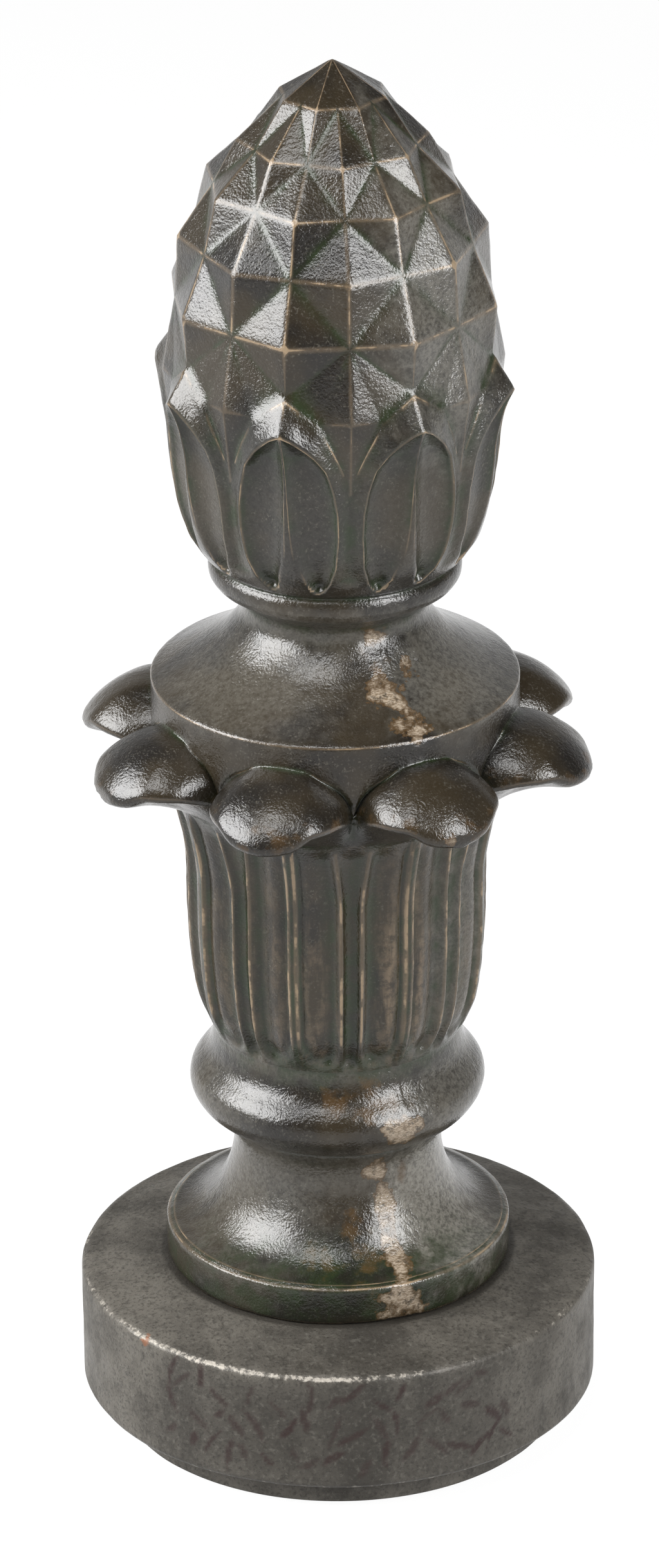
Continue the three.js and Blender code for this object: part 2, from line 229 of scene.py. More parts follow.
def flute_profile():
    """(angle, depth) pairs across half a leaf: rib, hollowed panel and band."""
    rib = [(0, -0.6), (1.2, -1), (RIB_HALF_ANGLE, -0.7)]
    panel = [
        (RIB_FOOT_ANGLE, 0.6), (3.6, 0.5), (5.4, 0.34), (7.4, 0.34), (9.5, 0.52), (11.6, 0.78),
        (13.6, 0.97), (15.4, 0.95), (17, 0.5), (18.2, 0.06),
    ]
    band = [(19.5, 0.45), (20.4, 0.85), (HALF_PITCH, 1.1)]
    profile = [(angle, share * RIB_PROUD) for angle, share in rib]
    profile += [(angle, share * FLUTE_DEPTH) for angle, share in panel]
    profile.append((BAND_EDGE_ANGLE, 0.1))
    return profile + [(angle, share * BAND_DEPTH) for angle, share in band]


FLUTE_PROFILE = flute_profile()
FLUTE_COLUMNS = np.array([angle for angle, _ in FLUTE_PROFILE])
EVEN_COLUMNS = np.linspace(0, HALF_PITCH, HALF_COLUMNS + 1)
LOBE_COLUMNS = HALF_PITCH * (np.linspace(0, 1, HALF_COLUMNS + 1) ** 0.85)


def row(angles, r, z):
    return np.stack([angles, np.broadcast_to(r, angles.shape), np.broadcast_to(z, angles.shape)], axis=1)


def plain_rows(points, count, angles=EVEN_COLUMNS, last_angles=None):
    """Rows of a turned form. Its columns may slide to other angles on the way up."""
    rs, zs = path(points, count)
    last = angles if last_angles is None else last_angles
    shares = np.linspace(0, 1, count + 1)
    return [row(lerp(angles, last, s), r, z) for r, z, s in zip(rs, zs, shares)]


def foot_rows():
    inner = FOOT_RADIUS - FLARE_INSET
    turn = np.linspace(0, np.pi / 2, FLARE_POINTS)
    flare_r = NECK_RADIUS + (inner - NECK_RADIUS) * (1 - np.sin(turn)) ** FLARE_EXPONENT
    flare_z = FOOT_TOP_Z + FOOT_EDGE + (FLARE_HEIGHT - FOOT_EDGE) * (1 - np.cos(turn))
    underside = [(0.5, FOOT_Z), (FOOT_RADIUS - 1.2, FOOT_Z)]
    band = [(FOOT_RADIUS - 0.5, FOOT_Z + 0.3), (FOOT_RADIUS, FOOT_Z + 1.4)]
    band.append((FOOT_RADIUS, FOOT_TOP_Z - FOOT_EDGE))
    edge = [(FOOT_RADIUS - 0.4, FOOT_TOP_Z), (inner, FOOT_TOP_Z + FOOT_EDGE * 0.6)]
    neck = [(NECK_RADIUS, NECK_Z + 0.6), (NECK_RADIUS + 0.6, NECK_Z + 5.5)]
    neck.append((STEP_RADIUS - STEP_PROUD, STEP_Z - 0.4))
    step = [(STEP_RADIUS - 0.1, STEP_Z + 0.5), (STEP_RADIUS + 0.2, STEP_Z + 1.8)]
    step.append((STEP_RADIUS, TORUS_Z - 0.4))
    rows = plain_rows(underside, 3) + plain_rows(band, 9) + plain_rows(edge, 1)
    rows += plain_rows(list(zip(flare_r, flare_z)), 32)
    return rows + plain_rows(neck, 6) + plain_rows(step, 2)


def torus_rows():
    lower_shape = [(0.12, 0.36), (0.3, 0.63), (0.5, 0.81), (0.75, 0.95)]
    upper_shape = [(0.16, 0.93), (0.32, 0.69), (0.46, 0.4), (0.58, 0.22), (0.75, 0.09), (0.97, 0.02)]
    points = [(TORUS_ROOT_RADIUS, TORUS_Z)]
    points += turned(TORUS_ROOT_RADIUS, TORUS_RADIUS, TORUS_Z, TORUS_LOWER_HEIGHT, lower_shape)
    points.append((TORUS_RADIUS, TORUS_MIDDLE_Z))
    points += turned(CUP_BASE_RADIUS, TORUS_RADIUS, TORUS_MIDDLE_Z, TORUS_UPPER_HEIGHT, upper_shape)
    return plain_rows(points, 34, EVEN_COLUMNS, FLUTE_COLUMNS)


def cup_radius(height):
    shape = [(0, 0), (0.1, 0.3), (0.21, 0.62), (0.32, 0.78), (0.48, 0.9), (0.7, 0.98), (1, 1)]
    body = lerp(CUP_BASE_RADIUS, CUP_BELLY_RADIUS, smooth(shape, height / CUP_BELLY_HEIGHT))
    rise = np.clip((height - CUP_BELLY_HEIGHT) / (CUP_HEIGHT - CUP_BELLY_HEIGHT), 0, 1)
    return body + (CUP_LIP_RADIUS - CUP_BELLY_RADIUS) * rise ** CUP_FLARE_EXPONENT


def flute_depth(angle, height):
    """Depth of the ribs, panels and bands below the cup's body."""
    depth = smooth(FLUTE_PROFILE, angle)
    away = np.abs((angle - PANEL_MIDDLE) / PANEL_HALF_WIDTH)
    bottom = np.minimum(PANEL_START + PANEL_START_RISE * away ** 3, PANEL_START_MOST)
    is_panel = (angle > RIB_HALF_ANGLE) & (angle < BAND_EDGE_ANGLE)
    start = np.where(is_panel, bottom, RIB_START)
    fade_in = ease(height, start, start + FLUTE_FADE)
    fade_out = 1 - ease(height, CUP_HEIGHT - FLUTE_TOP_FADE, CUP_HEIGHT)
    return depth * np.minimum(fade_in, fade_out)


def splayed_columns(height):
    """Columns of the flutes, which the gap pushes apart as it widens towards the lobes."""
    splay = GAP_SPLAY * ease(height, CUP_HEIGHT - SPLAY_HEIGHT, CUP_HEIGHT)
    even = [0, RIB_FOOT_ANGLE, BAND_EDGE_ANGLE, HALF_PITCH]
    splayed = [0, RIB_FOOT_ANGLE, BAND_EDGE_ANGLE - splay, HALF_PITCH]
    return np.interp(FLUTE_COLUMNS, even, splayed)


def cup_rows():
    heights = np.concatenate([np.linspace(0, 20, 16), np.linspace(21.5, CUP_HEIGHT, 44)])
    rows = []
    for h in heights:
        rows.append(row(splayed_columns(h), cup_radius(h) - flute_depth(FLUTE_COLUMNS, h), CUP_Z + h))
    return rows


def lobe_reach(angle):
    """Plan of a lobe: how far it reaches at an angle from its middle."""
    turn = np.linspace(0, np.pi / 2, OUTLINE_POINTS)
    power = 2 / LOBE_OUTLINE_EXPONENT
    x = LOBE_REACH - LOBE_LENGTH + LOBE_LENGTH * np.cos(turn) ** power
    y = LOBE_HALF_WIDTH * np.sin(turn) ** power
    angles = np.append(np.degrees(np.arctan2(y, x)), HALF_PITCH)
    reach = np.append(np.hypot(x, y), PINCH_RADIUS)
    return np.interp(angle, angles, reach)


def lobe_column(angle):
    """One meridian of the lobes, as three runs of (radius, height): underside, top and collar."""
    reach = lobe_reach(angle)
    away = angle / HALF_PITCH
    swell = (reach - PINCH_RADIUS) / (LOBE_REACH - PINCH_RADIUS)
    lip_shape = [(0, 0.27), (0.3, 0.31), (0.52, 0.42), (0.75, 0.42), (1, 0.29)]
    root_shape = [(0, 0.89), (0.35, 0.86), (0.55, 0.77), (0.78, 0.64), (0.92, 0.5), (1, 0.33)]
    lip = LOBE_HEIGHT * smooth(lip_shape, away)
    edge = lip + LOBE_HEIGHT * lerp(0.02, 0.08, swell)
    root = LOBE_HEIGHT * smooth(root_shape, away)
    root_r = lerp(DISC_RADIUS + 0.9, PINCH_RADIUS + 0.3, away ** 2)
    under = [(lerp(CUP_LIP_RADIUS, reach, 0.05), 1)]
    for share, rise in [(0.3, 0.5), (0.65, 0.87), (0.88, 0.97), (0.97, 1.04)]:
        under.append((lerp(CUP_LIP_RADIUS, reach, share), lip * rise))
    under.append((reach, edge))
    top = []
    for share in np.linspace(0, 1, 12) ** 1.6:
        rise = math.sin(math.pi / 2 * share) ** LOBE_TOP_EXPONENT
        top.append((lerp(reach, root_r, share), lerp(edge, root, rise)))
    line = max(DISC_LINE, root + 1.2)
    collar = [(DISC_RADIUS, root + (line - root) * 0.25), (DISC_RADIUS, line), (DISC_RADIUS, LOBE_HEIGHT)]
    return under, top, collar


def lobe_rows():
    columns = []
    for angle in LOBE_COLUMNS:
        runs = [path(points, count) for points, count in zip(lobe_column(angle), LOBE_STEPS)]
        columns.append((np.concatenate([r for r, _ in runs]), np.concatenate([z for _, z in runs])))
    radii = np.array([r for r, _ in columns])
    heights = np.array([z for _, z in columns])
    total = radii.shape[1]
    rows = []
    for k in range(total):
        leave_cup = ease(k, 0, LOBE_STEPS[0] * 0.5)
        reach_collar = ease(k, total - LOBE_STEPS[2] * 0.8, total - 1)
        angles = lerp(splayed_columns(CUP_HEIGHT), LOBE_COLUMNS, leave_cup)
        angles = lerp(angles, EVEN_COLUMNS, reach_collar)
        r = np.interp(angles, LOBE_COLUMNS, radii[:, k])
        z = np.interp(angles, LOBE_COLUMNS, heights[:, k])
        rows.append(row(angles, r, LIP_Z + z))
    return rows


def disc_rows():
    flare_shape = [(0.1, 0.81), (0.3, 0.5), (0.58, 0.18), (0.92, 0)]
    cove_shape = [(0.12, 0.02), (0.4, 0.22), (0.7, 0.55), (0.9, 0.84)]
    bead_shape = [(-1.1, 0.2), (-0.1, 2.2), (0.1, 4.8), (-0.5, 7.4), (-2, 9)]
    rim = [(DISC_RADIUS, COLLAR_Z + 0.6), (DISC_RADIUS, DISC_Z - 0.6)]
    flare = [(DISC_RADIUS - 0.5, DISC_Z)]
    flare += turned(UPPER_NECK_RADIUS, DISC_RADIUS, DISC_Z, DISC_FLARE_HEIGHT, flare_shape)
    flare += turned(UPPER_NECK_RADIUS, BEAD_RADIUS, UPPER_NECK_Z, COVE_HEIGHT, cove_shape)
    bead = [(BEAD_RADIUS + out, BEAD_Z + rise) for out, rise in bead_shape]
    bead.append((LEAF_CUP_BASE_RADIUS - 0.8, LEAF_CUP_Z - 0.2))
    rows = plain_rows(rim, 4) + plain_rows(flare, 38)
    return rows + plain_rows(bead, 11, EVEN_COLUMNS, leaf_columns(0))


# Leaf cup: shares are of its height or of the way across half a panel or wall

ARCH_SHAPE = [
    (0, 0.7), (0.15, 0.86), (0.22, 0.955), (0.4, 1.01), (0.54, 1), (0.66, 0.925), (0.79, 0.79),
    (0.877, 0.56), (0.92, 0.4), (0.97, 0.2), (1, 0),
]
PANEL_SHARES = np.array([0.06, 0.14, 0.28, 0.45, 0.62, 0.78, 0.89, 0.95, 1])
PANEL_SHAPE = [
    (0, 0.1), (0.06, 0.3), (0.14, 0.6), (0.3, 0.9), (0.5, 1),
    (0.72, 0.9), (0.88, 0.62), (0.95, 0.4), (1, 0),
]
WALL_SHARES = np.array([0.14, 0.4, 0.7, 1])
WALL_DROP = np.array([0.12, 0.5, 0.88, 1])
STEM_SHAPE = [(0.08, 6), (0.15, 5.2), (0.22, 3.4), (0.32, 2.2), (0.45, 1.4), (0.7, 0.6), (1, 0.3)]
STEM_COLUMNS = HALF_COLUMNS - len(PANEL_SHARES) - len(WALL_SHARES)


def leaf_body(share):
    swell = [
        (0, 0), (0.035, 0.2), (0.09, 0.38), (0.14, 0.54), (0.2, 0.65), (0.3, 0.8), (0.42, 0.91), (0.58, 1),
    ]
    flare = [(0.58, 0), (0.7, 0.1), (0.8, 0.28), (0.9, 0.55), (1, 1)]
    body = lerp(LEAF_CUP_BASE_RADIUS, LEAF_CUP_RADIUS, smooth(swell, share))
    return body + (BEAK_RADIUS - LEAF_CUP_RADIUS) * smooth(flare, share)


def arch_angle(share):
    return LEAF_HALF_ANGLE * straight(ARCH_SHAPE, share)


def panel_columns(share):
    """Angles of the columns across half a panel: stem, hollow and rim."""
    arch = arch_angle(share)
    stem = np.minimum(arch * 0.4, straight(STEM_SHAPE, share))
    return np.concatenate([np.linspace(0, stem, STEM_COLUMNS + 1), lerp(stem, arch, PANEL_SHARES)])


def leaf_columns(share):
    return np.concatenate([panel_columns(share), lerp(arch_angle(share), HALF_PITCH, WALL_SHARES)])


def panel_points(share):
    """Half panel at a share of the cup's height: midrib or stem, hollow and raised rim."""
    angles = panel_columns(share)
    across = np.concatenate([np.zeros(STEM_COLUMNS + 1), PANEL_SHARES])
    height = share * LEAF_CUP_HEIGHT
    bottom = PANEL_BOTTOM + PANEL_BOTTOM_RISE * np.abs(2 * across - 1) ** 2.5
    fade = ease(height, bottom, bottom + PANEL_FADE) * min(1, arch_angle(share) / (LEAF_HALF_ANGLE * 0.6))
    depth = PANEL_DEPTH * smooth(PANEL_SHAPE, across) * fade
    depth[:STEM_COLUMNS] = -MIDRIB_PROUD * ease(share, 0.3, 0.5) * (1 - ease(share, 0.9, 1))
    return row(angles, leaf_body(share) - depth, LEAF_CUP_Z + height)


def leaf_row(share):
    panel = panel_points(share)
    rim_a, rim_r, z = panel[-1]
    fade = ease(share * LEAF_CUP_HEIGHT, GAP_BOTTOM, GAP_FULL_HEIGHT)
    groove = leaf_body(share) - GAP_DEPTH * fade
    wall = row(lerp(rim_a, HALF_PITCH, WALL_SHARES), lerp(rim_r, groove, WALL_DROP), z)
    return np.concatenate([panel, wall])


# Outer edge of the shoulders: place along it, share of the cup's height, angle, radius
SHOULDER_EDGE = [
    (0, ARCH_START, HALF_PITCH, leaf_body(ARCH_START) - GAP_DEPTH),
    (0.2, 0.77, 20.25, 61.1),
    (0.4, 0.885, 17.2, 61.65),
    (0.6, 1.048, 11.9, 62.4),
    (0.8, 1.115, 5.85, 62),
    (1, 1.177, 0, 61.6),
]
# Height of the arch beside each place along the shoulders
ARCH_SHARES = [(0, ARCH_START), (0.2, 0.74), (0.4, 0.83), (0.6, 0.9), (0.8, 0.955), (1, 1)]
FAN_CORNER = 0.6  # place where the surface behind the shoulders turns from the low point to the valley


def shoulder_edge(place):
    table = np.array(SHOULDER_EDGE)
    share, angle, r = (np.interp(place, table[:, 0], table[:, i]) for i in (1, 2, 3))
    return np.array([angle, r, LEAF_CUP_Z + share * LEAF_CUP_HEIGHT])


def arch_points(place):
    return panel_points(float(straight(ARCH_SHARES, place)))


def shoulder_row(place):
    rim = arch_points(place)[-1]
    edge = shoulder_edge(place)
    raised = ease(place, 0.15, 0.5)
    drop = lerp(WALL_DROP, WALL_SHARES ** 1.1, raised)
    points = [rim]
    for share, fallen in zip(WALL_SHARES, drop):
        points.append(lerp(rim, edge, np.array([share, fallen, share])))
    points[-1] = lerp(points[-2], points[-1], lerp(1, 0.8, raised)) + np.array([0, HOOD_STEP * raised, 0])
    points.append(edge)
    return np.array(points)


def cylinder_to_local(points):
    points = np.asarray(points, float)
    turn = np.radians(points[..., 0])
    r = points[..., 1]
    return np.stack([r * np.sin(turn), -r * np.cos(turn), points[..., 2]], axis=-1)


def ring_point(ring, meridian):
    """Point or valley of the pineapple where a ring crosses a meridian."""
    rise, spread, relief = RING_SHAPE[ring]
    is_point = (ring + meridian) % 2 == 1
    r = PINEAPPLE_RADIUS * spread - (0 if is_point else PYRAMID_RELIEF * relief)
    return cylinder_to_local([meridian * HALF_PITCH, r, LEAF_POINT_Z + PINEAPPLE_HEIGHT * rise])


# Meshes

def grid_faces(rows, columns):
    faces = []
    for i in range(rows - 1):
        for j in range(columns - 1):
            a = i * columns + j
            faces.append([a, a + 1, a + columns + 1, a + columns])
    return faces


def line_between(start, end, steps):
    return np.array([lerp(start, end, s) for s in np.linspace(0, 1, steps + 1)])


def facet(p, q, s, steps):
    """A flat triangle cut into rows of small ones."""
    points = []
    starts = []
    for i in range(steps + 1):
        starts.append(len(points))
        low, high = lerp(p, s, i / steps), lerp(q, s, i / steps)
        width = steps - i
        points += [lerp(low, high, j / max(width, 1)) for j in range(width + 1)]
    faces = []
    for i in range(steps):
        for j in range(steps - i):
            a, b = starts[i] + j, starts[i + 1] + j
            faces.append([a, a + 1, b])
            if j < steps - i - 1:
                faces.append([a + 1, b + 1, b])
    return np.array(points), faces


class Skin:
    """Gathers patches of points in millimetres, to be welded into one mesh."""

    def __init__(self):
        self.points = []
        self.faces = []
        self.count = 0

    def add(self, points, faces):
        self.points.append(points)
        self.faces += [[i + self.count for i in face] for face in faces]
        self.count += len(points)

    def leaf_patch(self, local, faces):
        """A patch of half a leaf, mirrored and repeated round the axis."""
        local = local.reshape(-1, 3)
        for leaf in range(LEAF_COUNT):
            turn = math.radians(leaf * PITCH + LEAF_PHASE)
            c, s = math.cos(turn), math.sin(turn)
            spin = np.array([[c, s, 0], [-s, c, 0], [0, 0, 1]])
            self.add(local @ spin, faces)
            self.add((local * (-1, 1, 1)) @ spin, [face[::-1] for face in faces])

    def grid(self, rows):
        local = np.array([cylinder_to_local(r) for r in rows])
        self.leaf_patch(local, grid_faces(*local.shape[:2]))

    def fan(self, edge, apex):
        """Rows from the points of an edge up to an apex, all in local coordinates."""
        rows = line_between(edge, apex, FAN_STEPS)
        self.leaf_patch(rows, grid_faces(*rows.shape[:2]))

    def facets(self, *triangles):
        for p, q, s in triangles:
            self.leaf_patch(*facet(p, q, s, FACET_STEPS))


def add_leaf_tops(skin):
    """Arched tops of the leaves, their shoulders and beaks, and what lies between them."""
    along = np.linspace(0, 1, SHOULDER_ROWS + 1)
    skin.grid([arch_points(place) for place in along])
    skin.grid([shoulder_row(place) for place in along])
    edge = cylinder_to_local([shoulder_edge(place) for place in along])
    low_point, valley, point = ring_point(0, 1), ring_point(1, 1), ring_point(1, 0)
    corner = round(FAN_CORNER * SHOULDER_ROWS)
    skin.fan(edge[:corner + 1], low_point)
    skin.fan(line_between(low_point, valley, FAN_STEPS), edge[corner])
    skin.fan(edge[corner:], valley)
    skin.fan(line_between(valley, point, FACET_STEPS), edge[-1])


def add_pineapple(skin):
    """Pyramids between one meridian and the next, with the fold of each quad from valley to valley."""
    last = len(RING_SHAPE) - 1
    for ring in range(1, last):
        low, low_next = ring_point(ring, 0), ring_point(ring, 1)
        high, high_next = ring_point(ring + 1, 0), ring_point(ring + 1, 1)
        if ring % 2 == 0:
            skin.facets((low, low_next, high_next), (low, high_next, high))
        else:
            skin.facets((low, low_next, high), (low_next, high_next, high))
    skin.facets((ring_point(last, 0), ring_point(last, 1), np.array([0, 0, TIP_Z])))


def weld(name, points, faces):
    mesh = bpy.data.meshes.new(name)
    mesh.from_pydata(points.tolist(), [], faces)
    form = bmesh.new()
    form.from_mesh(mesh)
    bmesh.ops.remove_doubles(form, verts=form.verts, dist=WELD_DISTANCE)
    bmesh.ops.dissolve_degenerate(form, edges=form.edges, dist=WELD_DISTANCE)
    bmesh.ops.recalc_face_normals(form, faces=form.faces)
    form.to_mesh(mesh)
    form.free()
    mesh.polygons.foreach_set("use_smooth", [True] * len(mesh.polygons))
    return add(name, mesh)


def add(name, data):
    thing = bpy.data.objects.new(name, data)
    bpy.context.scene.collection.objects.link(thing)
    return thing


def vertex_places(mesh):
    values = np.empty(len(mesh.vertices) * 3)
    mesh.vertices.foreach_get("co", values)
    return values.reshape(-1, 3)


def move_to(mesh, points):
    mesh.vertices.foreach_set("co", points.ravel())
    mesh.update()


def normals(mesh):
    values = np.empty(len(mesh.vertices) * 3)
    mesh.vertex_normals.foreach_get("vector", values)
    return values.reshape(-1, 3)


def raise_by(mesh, height):
    """Moves each vertex outwards by its height."""
    move_to(mesh, vertex_places(mesh) + normals(mesh) * height[:, None])


def edge_ends(mesh):
    values = np.empty(len(mesh.edges) * 2, np.int32)
    mesh.edges.foreach_get("vertices", values)
    return values.reshape(-1, 2)


def neighbour_mean(values, ends):
    """Mean of each vertex's neighbours."""
    total = np.zeros_like(values)
    count = np.zeros(len(values))
    for one, other in ((0, 1), (1, 0)):
        np.add.at(total, ends[:, one], values[ends[:, other]])
        np.add.at(count, ends[:, one], 1)
    return total / (count if values.ndim == 1 else count[:, None])


def soften(mesh, strength):
    """Rounds every edge a little, as moulding sand does."""
    points = vertex_places(mesh)
    move_to(mesh, lerp(points, neighbour_mean(points, edge_ends(mesh)), strength))


def curvature(mesh):
    """Bend of the surface at each vertex, for each millimetre: above 0 on ridges, below 0 in hollows."""
    ends = edge_ends(mesh)
    points, facing = vertex_places(mesh), normals(mesh)
    run = points[ends[:, 1]] - points[ends[:, 0]]
    square = (run ** 2).sum(1) + 1e-6
    bend = np.zeros(len(points))
    count = np.zeros(len(points))
    for end, sign in ((0, -1), (1, 1)):
        np.add.at(bend, ends[:, end], sign * (facing[ends[:, end]] * run).sum(1) / square)
        np.add.at(count, ends[:, end], 1)
    return 2 * bend / count


def widen(values, ends, times):
    """Lets high values run out over their neighbours."""
    for _ in range(times):
        values = np.maximum(values, lerp(values, neighbour_mean(values, ends), 0.9))
    return values


def lumps(points, size, seed):
    """Soft noise from -1 to 1, with about one lump in each size millimetres."""
    shift = Vector((seed * 3.1, seed * 5.3, seed * 7.7))
    return np.array([noise.noise(Vector(p) + shift) for p in (points / size)])


def unevenness(points, layers):
    """Sum of lumps in (height, size, seed) layers."""
    return sum(height * lumps(points, size, seed) for height, size, seed in layers)


def around(points):
    """Azimuth in degrees from the front towards +X, radius and height."""
    x, y, z = points.T
    return np.degrees(np.arctan2(x, -y)), np.hypot(x, y), z


def arc(degrees, radius):
    return degrees * np.radians(1) * radius


def spot(azimuth, z, centre, half_width, half_height, fray, ragged=0.35):
    """1 inside an oval on the surface, 0 outside, with a frayed edge."""
    a = ((azimuth - centre[0] + 180) % 360 - 180) / half_width
    b = (z - centre[1]) / half_height
    reach = np.sqrt(a ** 2 + b ** 2) + fray * ragged
    return 1 - ease(reach, 0.4, 1.5)


def keep(mesh, name, values):
    layer = mesh.attributes.new(name, "FLOAT", "POINT")
    layer.data.foreach_set("value", np.clip(values, 0, 1).astype(np.float32))


# Marks on the finial: azimuth and height, half width in degrees, half height in millimetres, strength

GROUND_AND_CHIP_HIGHLIGHT_SPOTS = [
    ((21, 73), 8, 9, 1), ((24.5, 92), 6, 10, 1), ((25, 106), 5.5, 11, 1), ((22.5, 120), 9, 5, 0.9),
    ((24.5, 145), 9, 7, 1), ((27, 318), 9, 4, 0.9), ((22, 327), 9, 6, 0.85), ((39, 332), 8, 4, 0.8),
    # The last spot, on the chip in the right lobe's rim, is a painted highlight in the ground metal's colour.
    ((23, 343), 8, 4.5, 0.85), ((25.5, 287), 2, 3.2, 1.3),
]
AMBER_SPOTS = [
    ((10, 156), 16, 9, 1), ((20, 152), 14, 7, 1), ((9, 92), 12, 14, 0.8), ((33, 118), 9, 8, 0.8),
    ((-10, 89), 10, 7, 0.6), ((0, 288), 100, 7, 0.6), ((24, 340), 14, 12, 0.7),
]
GREEN_SPOTS = [((5, 82), 62, 12, 0.9), ((0, 170), 80, 8, 0.8), ((0, 73), 300, 8, 0.8)]
DUST_AND_SHEEN_SPOTS = [
    ((0, 124), 180, 14, 0.3), ((0, 350), 180, 10, 0.35), ((46, 482), 26, 62, 0.55),
    ((-50, 108), 44, 28, 0.35), ((56, 102), 30, 26, 1.4), ((180, 105), 90, 28, 0.35),
    # The spot at (-46, 328) on the disc's left is painted sheen, with dust.
    ((0, 168), 180, 5, 0.3), ((56, 150), 36, 14, 0.5), ((-46, 328), 40, 15, 0.3),
    ((62, 328), 38, 15, 0.5), ((170, 328), 70, 15, 0.3), ((-60, 150), 26, 10, 0.35),
    # The faint spot (0, 396) over the whole leaf cup is dust and painted sheen.
    ((60, 215), 22, 46, 0.4), ((0, 396), 400, 36, 0.1),
]
TAN_SPOTS = [
    ((12, 195), 44, 55, 0.5), ((-40, 200), 30, 60, 0.4), ((20, 240), 24, 60, 0.4),
    ((150, 210), 90, 60, 0.5), ((28.8, 222), 3.4, 48, 1.6), ((21.5, 205), 3, 28, 1.4),
    ((34, 200), 3, 30, 1.1), ((-14, 200), 2.5, 40, 0.8),
]

# Form of the casting's flaws
SOFTENING = 0.25
CAST_LAYERS = [(0.25, 30, 1), (0.05, 10, 2), (0.03, 3.5, 3)]
PARTING_AZIMUTH = 28
PARTING_HEIGHT = 0.35
LINE_WIDTH = 0.9
GROUND_LOSS = 0.35
RIDGE_LOSS = 0.25
LOBE_CHIPS = [(25.5, 288.4), (-63, 284)]
CHIP_DEPTH = 1.6
CHIP_SIZE = 5
CHIP_TILT = -0.15


def finial_shape():
    """The finial's mesh, and the bend of its surface before it is softened."""
    skin = Skin()
    rows = foot_rows() + torus_rows() + cup_rows() + lobe_rows() + disc_rows()
    rows += [leaf_row(share) for share in np.linspace(0.01, ARCH_START, LEAF_CUP_ROWS)]
    skin.grid(rows)
    add_leaf_tops(skin)
    add_pineapple(skin)
    piece = weld("finial_casting", np.concatenate(skin.points), skin.faces)
    bend = curvature(piece.data)
    soften(piece.data, SOFTENING)
    return piece, bend


def gap_lines(azimuth, radius, z):
    """Worn lines behind the beaks: one down the middle of each gap and one level with its point."""
    gap = np.abs((azimuth - LEAF_PHASE) % PITCH - HALF_PITCH)
    point_z = LEAF_POINT_Z + PINEAPPLE_HEIGHT * RING_SHAPE[0][0]
    upright = hump(arc(gap, radius), LINE_WIDTH)
    upright *= (z > LEAF_CUP_Z + LEAF_CUP_HEIGHT * ARCH_START) & (z < point_z + 27)
    level = hump(z - point_z, LINE_WIDTH) * (gap < 7)
    return 0.75 * np.maximum(upright, level)


def worn_ridges(bend, fluted, azimuth, radius, z):
    """1 on sharp ridges. The pineapple's show from a slighter bend, and the flutes' fade out below."""
    upper = z > LEAF_POINT_Z + 2
    ridge = ease(bend, np.where(upper, 0.02, 0.08), np.select([upper, fluted], [0.09, 0.26], 0.35))
    ridge *= np.where(fluted, ease(z, CUP_Z + 8, CUP_Z + 18), 1)
    ridge *= np.where(np.abs(z - LEAF_POINT_Z - 4) < 4, 0.5, 1)
    return np.maximum(ridge, gap_lines(azimuth, radius, z))


def cast_wear(mesh, bend):
    """Unevenness of the casting, its parting line, the ground spots and the stains, with painted sheen in
    some dust spots and a painted highlight on a lobe's chip.
    """
    points = vertex_places(mesh)
    azimuth, radius, z = around(points)
    fray = lumps(points, 5, 4) + 0.6 * lumps(points, 2, 5)

    def marks(spots):
        found = np.zeros(len(z))
        for centre, half_width, half_height, strength in spots:
            found = np.maximum(found, strength * spot(azimuth, z, centre, half_width, half_height, fray))
        return found

    fluted = (z > CUP_Z) & (z < LIP_Z)
    ridge = worn_ridges(bend, fluted, azimuth, radius, z)
    hollow = ease(-bend, 0.03, 0.14)
    ground_and_chip_highlight = marks(GROUND_AND_CHIP_HIGHLIGHT_SPOTS)
    keep(mesh, "ridge", ridge)
    keep(mesh, "dirt", np.maximum(widen(hollow, edge_ends(mesh), 3), marks(GREEN_SPOTS)))
    keep(mesh, "ground_and_chip_highlight", ground_and_chip_highlight)
    keep(mesh, "amber", marks(AMBER_SPOTS))
    keep(mesh, "dust_and_sheen", marks(DUST_AND_SHEEN_SPOTS))
    keep(mesh, "tan", marks(TAN_SPOTS) * (1 - hollow) * fluted)

    wander = 1.2 * lumps(points * (0, 0, 1), 30, 8)
    on_seam = hump(arc(azimuth - PARTING_AZIMUTH - wander, radius), LINE_WIDTH)
    height = unevenness(points, CAST_LAYERS)
    height += PARTING_HEIGHT * on_seam * (z < UPPER_NECK_Z) * (1 - ground_and_chip_highlight)
    height -= GROUND_LOSS * ease(ground_and_chip_highlight, 0.4, 0.6)
    height -= RIDGE_LOSS * ridge * np.clip(lumps(points, 6, 9) + 0.2, 0, 1)
    raise_by(mesh, height)


def chip(mesh, place):
    """Breaks a flat place off the lobe's rim near an azimuth and height."""
    points = vertex_places(mesh)
    azimuth, radius, z = around(points)
    centre_a, centre_z = place
    beside = np.hypot(arc(azimuth - centre_a, radius), z - centre_z)
    near = (beside < CHIP_SIZE * 2) & (radius > LOBE_REACH - 14)
    out = np.array([math.sin(math.radians(centre_a)), -math.cos(math.radians(centre_a)), CHIP_TILT])
    out /= np.linalg.norm(out)
    along_out = points @ out
    limit = along_out[near].max() - CHIP_DEPTH
    loose = (beside < CHIP_SIZE * 2.5) & (radius > radius[near].max() - 20)
    over = np.where(loose, np.maximum(along_out - limit, 0), 0)
    move_to(mesh, points - out * over[:, None])


# Plinth

PLINTH_LAYERS = [(0.35, 40, 23), (0.14, 12, 24), (0.05, 4, 25)]
STROKE_ROWS = (52, 40, 26)
STROKE_REACH = 40  # degrees each way from the front
RUST_PLACE = (-48.2, 60.4)
GRIME_PLACE = (4, 36)


